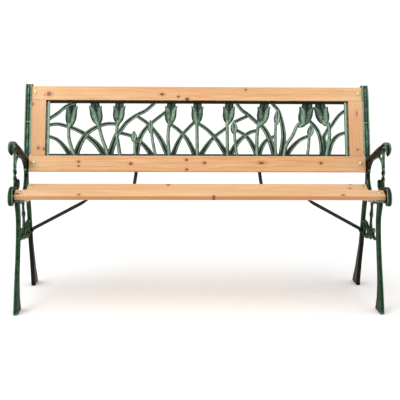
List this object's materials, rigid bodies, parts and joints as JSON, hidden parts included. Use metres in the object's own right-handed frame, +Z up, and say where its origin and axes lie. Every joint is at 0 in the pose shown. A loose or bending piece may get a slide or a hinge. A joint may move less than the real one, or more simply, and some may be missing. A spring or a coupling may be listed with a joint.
{
  "type": "garden bench",
  "caption": "Garden bench with cast-iron ends, reclined wooden back frame around a cast tulip lattice, a dished seat of wooden slats, scrolled armrests and steel braces.",
  "frame": {"origin": "on the ground, under the centre of the bench", "axes": "+X along the bench, to the right seen from the front; +Y to the back; +Z up; the bench faces -Y"},
  "size_m": [1.22, 0.5272, 0.7358],
  "materials": {
    "wood": "clear-stained softwood, satin",
    "seat_wood": "clear-stained softwood, satin",
    "frame_iron": "dark casting with verdigris highlights, semi-gloss",
    "panel_iron": "dark casting with verdigris highlights, semi-gloss",
    "brace_steel": "black paint, satin",
    "zinc_bolt": "yellowish zinc plating",
    "dark_bolt": "black zinc plating"
  },
  "bodies": {
    "root": {"back_top_rail": "wood", "back_bottom_rail": "wood", "back_left_stile": "wood", "back_right_stile": "wood", "tulip_panel": "panel_iron", "panel_screw_left_lower": "zinc_bolt", "panel_screw_left_upper": "zinc_bolt", "panel_screw_right_lower": "zinc_bolt", "panel_screw_right_upper": "zinc_bolt", "seat_slat_1_front": "seat_wood", "seat_slat_2": "seat_wood", "seat_slat_3": "seat_wood", "seat_slat_4": "seat_wood", "seat_slat_5": "seat_wood", "seat_slat_6_rear": "seat_wood", "right_side_frame": "frame_iron", "left_side_frame": "frame_iron", "seat_bolt_left_1": "zinc_bolt", "seat_nut_left_1": "zinc_bolt", "seat_bolt_left_2": "zinc_bolt", "seat_nut_left_2": "zinc_bolt", "seat_bolt_left_3": "zinc_bolt", "seat_nut_left_3": "zinc_bolt", "seat_bolt_left_4": "zinc_bolt", "seat_nut_left_4": "zinc_bolt", "seat_bolt_left_5": "zinc_bolt", "seat_nut_left_5": "zinc_bolt", "seat_bolt_left_6": "zinc_bolt", "seat_nut_left_6": "zinc_bolt", "back_bolt_left_upper": "zinc_bolt", "back_nut_left_upper": "zinc_bolt", "back_bolt_left_lower": "zinc_bolt", "back_nut_left_lower": "zinc_bolt", "seat_bolt_right_1": "zinc_bolt", "seat_nut_right_1": "zinc_bolt", "seat_bolt_right_2": "zinc_bolt", "seat_nut_right_2": "zinc_bolt", "seat_bolt_right_3": "zinc_bolt", "seat_nut_right_3": "zinc_bolt", "seat_bolt_right_4": "zinc_bolt", "seat_nut_right_4": "zinc_bolt", "seat_bolt_right_5": "zinc_bolt", "seat_nut_right_5": "zinc_bolt", "seat_bolt_right_6": "zinc_bolt", "seat_nut_right_6": "zinc_bolt", "back_bolt_right_upper": "zinc_bolt", "back_nut_right_upper": "zinc_bolt", "back_bolt_right_lower": "zinc_bolt", "back_nut_right_lower": "zinc_bolt", "left_brace": "brace_steel", "brace_bolt_left": "dark_bolt", "brace_nut_left": "dark_bolt", "brace_screw_left_rail": "zinc_bolt", "brace_screw_left_seat": "zinc_bolt", "right_brace": "brace_steel", "brace_bolt_right": "dark_bolt", "brace_nut_right": "dark_bolt", "brace_screw_right_rail": "zinc_bolt", "brace_screw_right_seat": "zinc_bolt"}
  },
  "joints": []
}
